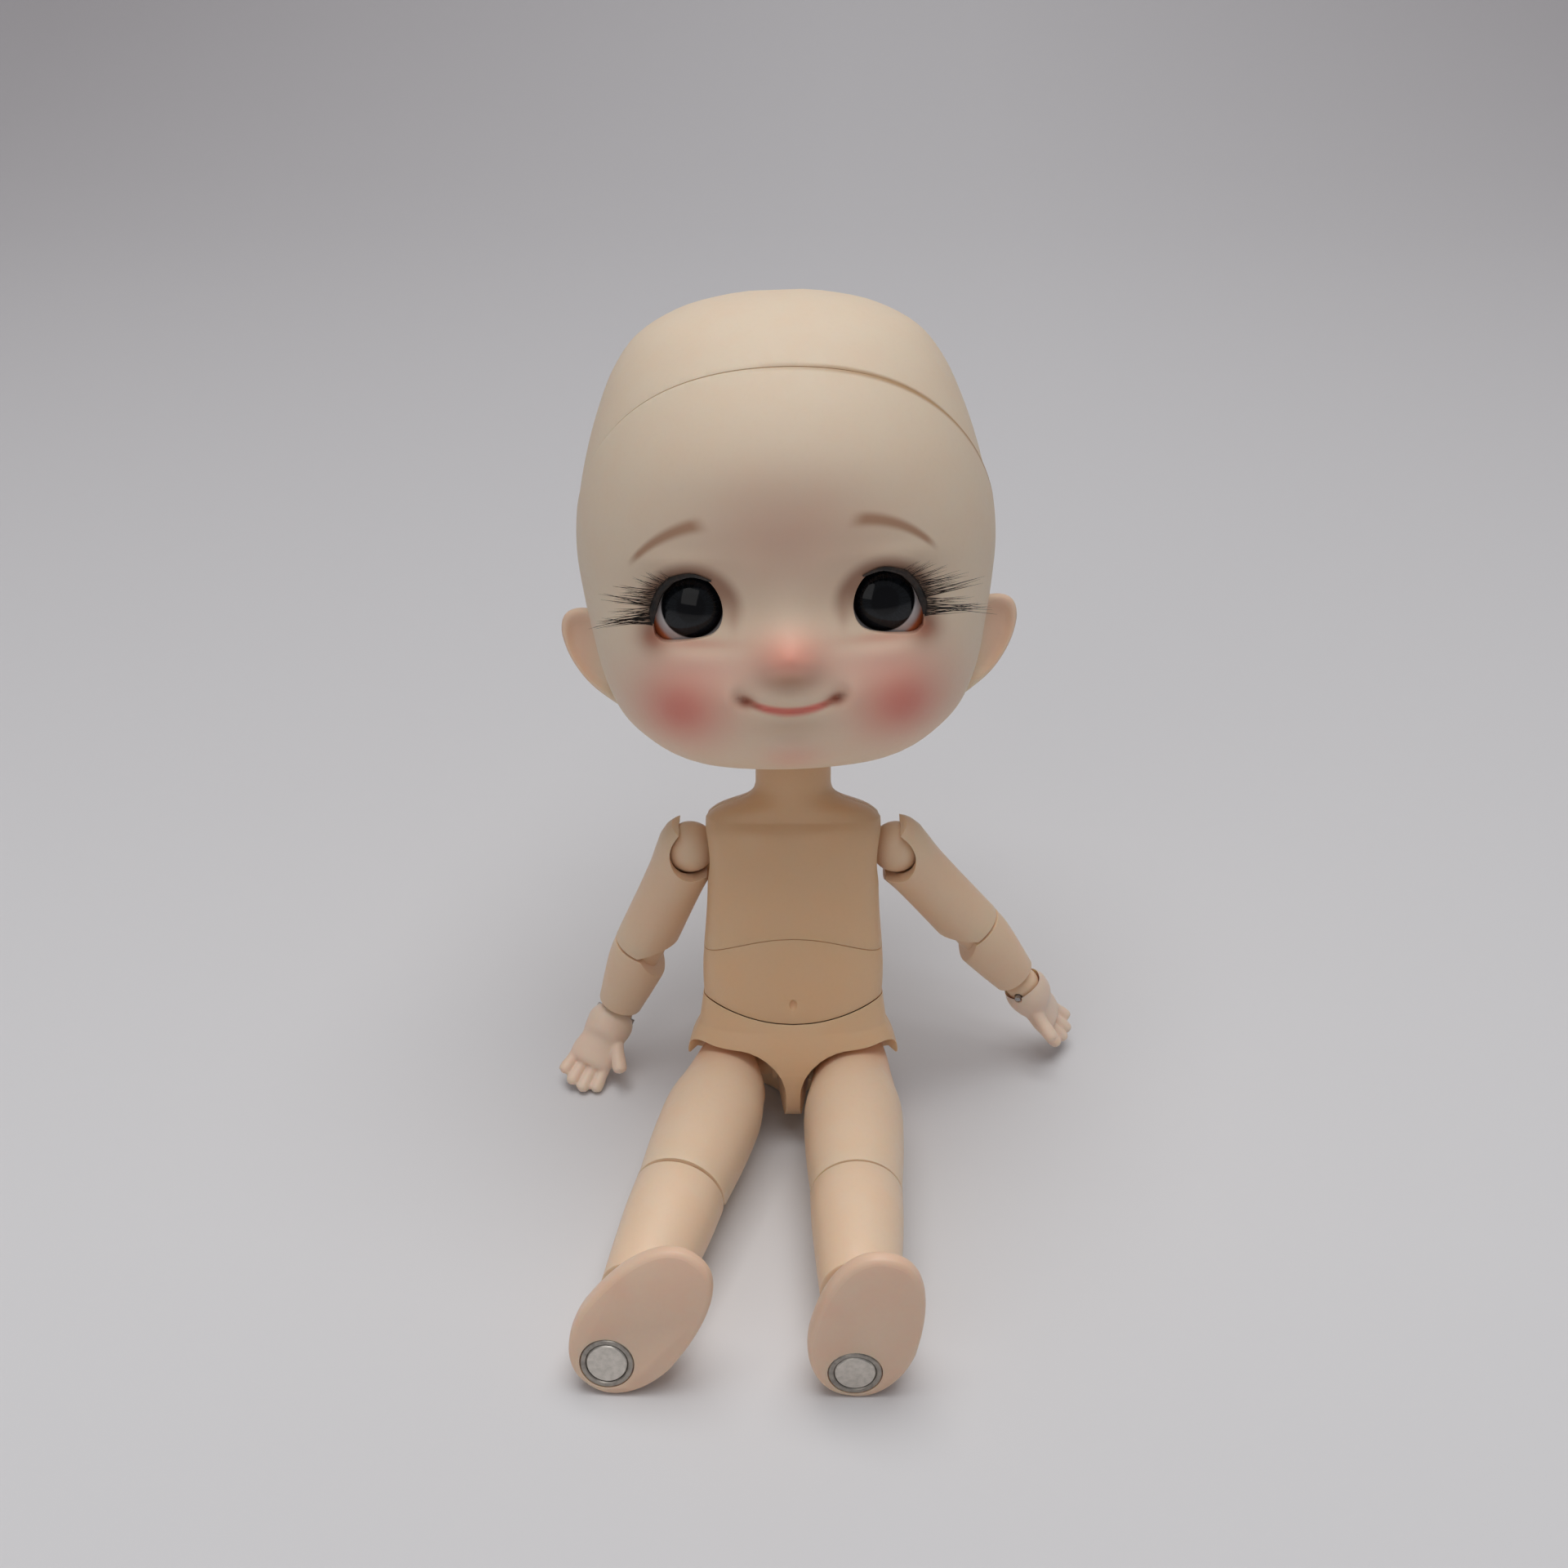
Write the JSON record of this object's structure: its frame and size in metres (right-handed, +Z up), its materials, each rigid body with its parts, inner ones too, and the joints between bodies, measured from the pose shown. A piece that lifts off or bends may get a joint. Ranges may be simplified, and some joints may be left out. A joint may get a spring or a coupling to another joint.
{
  "type": "ball jointed doll",
  "caption": "Small seated doll with a large hollow head, lift-off crown cap, set-in eyes, a jointed torso and pinned ball-jointed limbs with a magnet in each heel.",
  "frame": {"origin": "middle of the seated doll's footprint, on the surface that it sits on", "axes": "+Z up, the doll faces -Y, its own right side is at -X"},
  "size_m": [0.0592, 0.0842, 0.0888],
  "materials": {
    "head_resin": "matt cast resin with painted face colours",
    "body_plastic": "satin moulded",
    "hand_plastic": "satin moulded, pinker",
    "joint_plastic": "satin moulded",
    "eye_acrylic": "polished",
    "lash_hair": "glued fibre",
    "putty_clay": "pressed putty",
    "pin_steel": "drawn wire",
    "magnet_nickel": "nickel plated"
  },
  "bodies": {
    "pelvis": {"pelvis_front": "body_plastic", "pelvis_back": "body_plastic"},
    "waist_link": {"waist_link": "joint_plastic"},
    "abdomen": {"abdomen_front": "body_plastic", "abdomen_back": "body_plastic"},
    "chest": {"chest_front": "body_plastic", "chest_back": "body_plastic", "spine_pin": "joint_plastic"},
    "neck": {"neck_ball": "joint_plastic"},
    "head": {"head_shell": "head_resin", "head_magnet": "magnet_nickel", "neck_plate": "joint_plastic", "right_eye": "eye_acrylic", "left_eye": "eye_acrylic", "right_eye_putty": "putty_clay", "left_eye_putty": "putty_clay", "right_lash_strip": "lash_hair", "left_lash_strip": "lash_hair"},
    "cap": {"head_cap": "head_resin", "cap_magnet": "magnet_nickel"},
    "right_shoulder": {"right_shoulder_ball": "body_plastic", "right_shoulder_pin": "pin_steel"},
    "right_stem": {"right_shoulder_stem": "joint_plastic"},
    "right_upper_arm": {"right_upper_arm": "body_plastic", "right_elbow_pin": "pin_steel"},
    "right_forearm": {"right_forearm": "body_plastic"},
    "right_wrist": {"right_wrist_ball": "body_plastic"},
    "right_hand": {"right_hand": "hand_plastic", "right_wrist_pin": "pin_steel"},
    "right_hip": {"right_hip_ball": "body_plastic"},
    "right_thigh": {"right_thigh": "body_plastic", "right_hip_pin": "pin_steel", "right_knee_pin": "pin_steel"},
    "right_calf": {"right_calf": "body_plastic"},
    "right_ankle": {"right_ankle_ball": "body_plastic"},
    "right_foot": {"right_foot": "hand_plastic", "right_ankle_pin": "pin_steel", "right_heel_ring": "magnet_nickel", "right_heel_magnet": "magnet_nickel"},
    "left_shoulder": {"left_shoulder_ball": "body_plastic", "left_shoulder_pin": "pin_steel"},
    "left_stem": {"left_shoulder_stem": "joint_plastic"},
    "left_upper_arm": {"left_upper_arm": "body_plastic", "left_elbow_pin": "pin_steel"},
    "left_forearm": {"left_forearm": "body_plastic"},
    "left_wrist": {"left_wrist_ball": "body_plastic"},
    "left_hand": {"left_hand": "hand_plastic", "left_wrist_pin": "pin_steel"},
    "left_hip": {"left_hip_ball": "body_plastic"},
    "left_thigh": {"left_thigh": "body_plastic", "left_hip_pin": "pin_steel", "left_knee_pin": "pin_steel"},
    "left_calf": {"left_calf": "body_plastic"},
    "left_ankle": {"left_ankle_ball": "body_plastic"},
    "left_foot": {"left_foot": "hand_plastic", "left_ankle_pin": "pin_steel", "left_heel_ring": "magnet_nickel", "left_heel_magnet": "magnet_nickel"}
  },
  "joints": [
    {"name": "waist_lean", "type": "hinge", "parent": "pelvis", "child": "waist_link", "pos_m": [-0.00294, 0.0088, 0.02698], "axis": [1, 0, 0], "range_deg": [-7, 7]},
    {"name": "waist_sway", "type": "hinge", "parent": "waist_link", "child": "abdomen", "pos_m": [-0.00294, 0.0088, 0.02698], "axis": [0, 0.9489, -0.3156], "range_deg": [-7, 7]},
    {"name": "chest_turn", "type": "hinge", "parent": "abdomen", "child": "chest", "pos_m": [-0.00294, 0.00744, 0.0229], "axis": [0, 0.3156, 0.9489], "range_deg": [-25, 25]},
    {"name": "head_nod", "type": "hinge", "parent": "chest", "child": "neck", "pos_m": [-0.00294, 0.0136, 0.04141], "axis": [1, 0, 0], "range_deg": [-12, 12]},
    {"name": "head_turn", "type": "hinge", "parent": "neck", "child": "head", "pos_m": [-0.00294, 0.0136, 0.04141], "axis": [-0.0349, 0.3155, 0.9483], "range_deg": [-70, 70]},
    {"name": "cap_lift", "type": "slide", "parent": "head", "child": "cap", "axis": [-0.0242, 0.9017, 0.4317], "range_m": [0, 0.025]},
    {"name": "right_shoulder_swing", "type": "hinge", "parent": "chest", "child": "right_shoulder", "pos_m": [-0.01424, 0.01063, 0.02996], "axis": [-1, 0, 0], "range_deg": [-35.2, 109.8]},
    {"name": "right_arm_raise", "type": "hinge", "parent": "right_shoulder", "child": "right_stem", "pos_m": [-0.01424, 0.01063, 0.02996], "axis": [0, 0.9982, 0.0593], "range_deg": [-1.9, 61.6]},
    {"name": "right_arm_twist", "type": "hinge", "parent": "right_stem", "child": "right_upper_arm", "pos_m": [-0.01424, 0.01063, 0.02996], "axis": [0.3811, -0.0548, 0.9229], "range_deg": [-60, 60]},
    {"name": "right_elbow_bend", "type": "hinge", "parent": "right_upper_arm", "child": "right_forearm", "pos_m": [-0.01953, 0.01139, 0.01713], "axis": [-0.2393, -0.9701, 0.0412], "range_deg": [-2.6, 35.9]},
    {"name": "right_wrist_turn", "type": "hinge", "parent": "right_forearm", "child": "right_wrist", "pos_m": [-0.02341, 0.0119, 0.00642], "axis": [0.3402, -0.044, 0.9393], "range_deg": [-60, 60]},
    {"name": "right_wrist_bend", "type": "hinge", "parent": "right_wrist", "child": "right_hand", "pos_m": [-0.02341, 0.0119, 0.00642], "axis": [0.8905, -0.3059, -0.3368], "range_deg": [-2.5, 89.5]},
    {"name": "right_hip_swing", "type": "hinge", "parent": "pelvis", "child": "right_hip", "pos_m": [-0.00944, 0.00204, 0.00668], "axis": [1, 0, 0], "range_deg": [-3.95, 90.05]},
    {"name": "right_leg_spread", "type": "hinge", "parent": "right_hip", "child": "right_thigh", "pos_m": [-0.00944, 0.00204, 0.00668], "axis": [0, 0.027, -0.9996], "range_deg": [-8, 24]},
    {"name": "right_knee_bend", "type": "hinge", "parent": "right_thigh", "child": "right_calf", "pos_m": [-0.01452, -0.01832, 0.00613], "axis": [0.9703, -0.2418, -0.0065], "range_deg": [-2, 45]},
    {"name": "right_ankle_turn", "type": "hinge", "parent": "right_calf", "child": "right_ankle", "pos_m": [-0.01875, -0.03527, 0.00506], "axis": [0.2418, 0.9684, 0.0611], "range_deg": [-40, 40]},
    {"name": "right_ankle_pitch", "type": "hinge", "parent": "right_ankle", "child": "right_foot", "pos_m": [-0.01875, -0.03527, 0.00506], "axis": [0.7997, -0.1632, -0.5779], "range_deg": [-3, 38]},
    {"name": "left_shoulder_swing", "type": "hinge", "parent": "chest", "child": "left_shoulder", "pos_m": [0.00836, 0.01063, 0.02996], "axis": [-1, 0, 0], "range_deg": [-31.6, 113.4]},
    {"name": "left_arm_raise", "type": "hinge", "parent": "left_shoulder", "child": "left_stem", "pos_m": [0.00836, 0.01063, 0.02996], "axis": [0, -0.9925, -0.1219], "range_deg": [-17.3, 46.2]},
    {"name": "left_arm_twist", "type": "hinge", "parent": "left_stem", "child": "left_upper_arm", "pos_m": [0.00836, 0.01063, 0.02996], "axis": [0.6129, 0.0963, -0.7843], "range_deg": [-60, 60]},
    {"name": "left_elbow_bend", "type": "hinge", "parent": "left_upper_arm", "child": "left_forearm", "pos_m": [0.01688, 0.01197, 0.01906], "axis": [-0.2045, 0.9781, -0.0397], "range_deg": [-2.4, 47.6]},
    {"name": "left_wrist_turn", "type": "hinge", "parent": "left_forearm", "child": "left_wrist", "pos_m": [0.0235, 0.01298, 0.00983], "axis": [0.5804, 0.0885, -0.8095], "range_deg": [-60, 60]},
    {"name": "left_wrist_bend", "type": "hinge", "parent": "left_wrist", "child": "left_hand", "pos_m": [0.0235, 0.01298, 0.00983], "axis": [0.2846, 0.9094, 0.3034], "range_deg": [-50, 42]},
    {"name": "left_hip_swing", "type": "hinge", "parent": "pelvis", "child": "left_hip", "pos_m": [0.00356, 0.00204, 0.00668], "axis": [1, 0, 0], "range_deg": [-2.85, 91.15]},
    {"name": "left_leg_spread", "type": "hinge", "parent": "left_hip", "child": "left_thigh", "pos_m": [0.00356, 0.00204, 0.00668], "axis": [0, 0.0079, -1], "range_deg": [-38, 1]},
    {"name": "left_knee_bend", "type": "hinge", "parent": "left_thigh", "child": "left_calf", "pos_m": [0.00356, -0.01895, 0.00651], "axis": [1, 0, 0], "range_deg": [0, 47]},
    {"name": "left_ankle_turn", "type": "hinge", "parent": "left_calf", "child": "left_ankle", "pos_m": [0.00356, -0.03645, 0.00638], "axis": [0, -1, -0.0079], "range_deg": [-40, 40]},
    {"name": "left_ankle_pitch", "type": "hinge", "parent": "left_ankle", "child": "left_foot", "pos_m": [0.00356, -0.03645, 0.00638], "axis": [0.9781, 0.0016, -0.2079], "range_deg": [-21, 20]}
  ]
}
